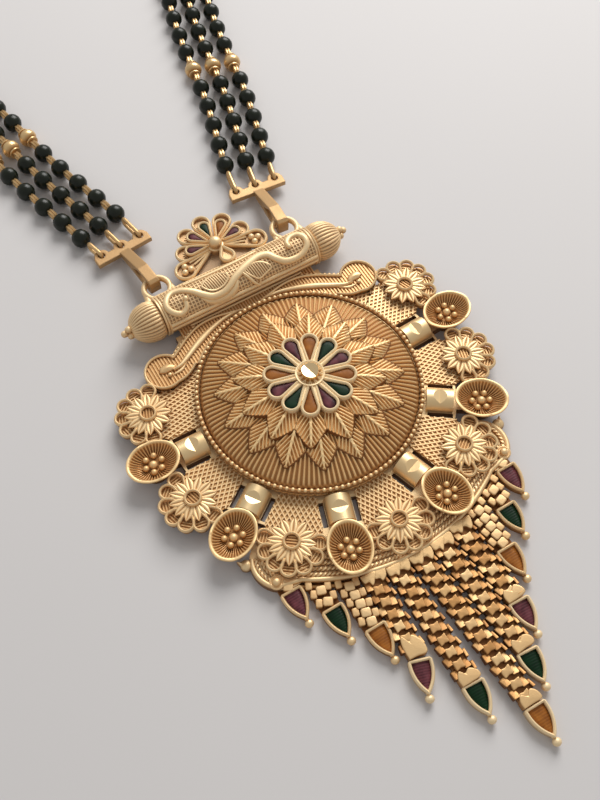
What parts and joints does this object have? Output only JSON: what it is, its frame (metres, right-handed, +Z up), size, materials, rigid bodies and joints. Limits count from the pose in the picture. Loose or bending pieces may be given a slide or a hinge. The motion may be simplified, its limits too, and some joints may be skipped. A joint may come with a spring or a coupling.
{
  "type": "mangalsutra",
  "caption": "Flat-lying gold mangalsutra: domed round pendant with rosettes, dishes, enamelled petals and a chain fringe, on a neck loop of triple rows of black beads.",
  "frame": {"origin": "middle of the medallion's flat underside, on the surface that the necklace lies on", "axes": "+Y from the medallion through the crest along the neck loop, +Z up out of the medallion's face, +X to the pendant's right as seen from above with the crest at the top"},
  "size_m": [0.129, 0.337, 0.0078],
  "materials": {
    "gold_satin": "satin gold plate",
    "gold_polished": "polished gold plate",
    "enamel_orange": "translucent enamel",
    "enamel_green": "translucent enamel",
    "enamel_maroon": "translucent enamel",
    "bead_black": "polished black glass beads"
  },
  "bodies": {
    "root": {"plate": "gold_satin", "dome": "gold_satin", "centre_flower": "gold_polished", "centre_stud": "gold_polished", "enamel_orange": "enamel_orange", "enamel_green": "enamel_green", "enamel_maroon": "enamel_maroon", "rosette_1": "gold_satin", "rosette_2": "gold_satin", "rosette_3": "gold_satin", "rosette_4": "gold_satin", "rosette_5": "gold_satin", "rosette_6": "gold_satin", "rosette_7": "gold_satin", "tube_1": "gold_polished", "tube_2": "gold_polished", "tube_3": "gold_polished", "tube_4": "gold_polished", "tube_5": "gold_polished", "tube_6": "gold_polished", "cup_1": "gold_satin", "cup_2": "gold_satin", "cup_3": "gold_satin", "cup_4": "gold_satin", "cup_5": "gold_satin", "cup_6": "gold_satin", "scroll_left": "gold_satin", "scroll_right": "gold_satin", "top_bar": "gold_satin", "crest": "gold_satin", "fringe_left": "gold_satin", "fringe_right": "gold_satin", "woven_chain_1": "gold_satin", "woven_chain_2": "gold_satin", "woven_chain_3": "gold_satin", "woven_chain_4": "gold_satin", "woven_chain_5": "gold_satin", "drop_1": "gold_polished", "drop_2": "gold_polished", "drop_3": "gold_polished", "drop_4": "gold_polished", "drop_5": "gold_polished", "t_bar_left": "gold_satin", "t_bar_right": "gold_satin", "end_links_left": "gold_polished", "end_links_right": "gold_polished", "strand_left_1": "bead_black", "strand_left_2": "bead_black", "strand_left_3": "bead_black", "strand_right_1": "bead_black", "strand_right_2": "bead_black", "strand_right_3": "bead_black", "back_links_left": "gold_polished", "back_links_right": "gold_polished", "back_bar_left": "gold_satin", "back_bar_right": "gold_satin", "clasp_hook": "gold_polished"}
  },
  "joints": []
}
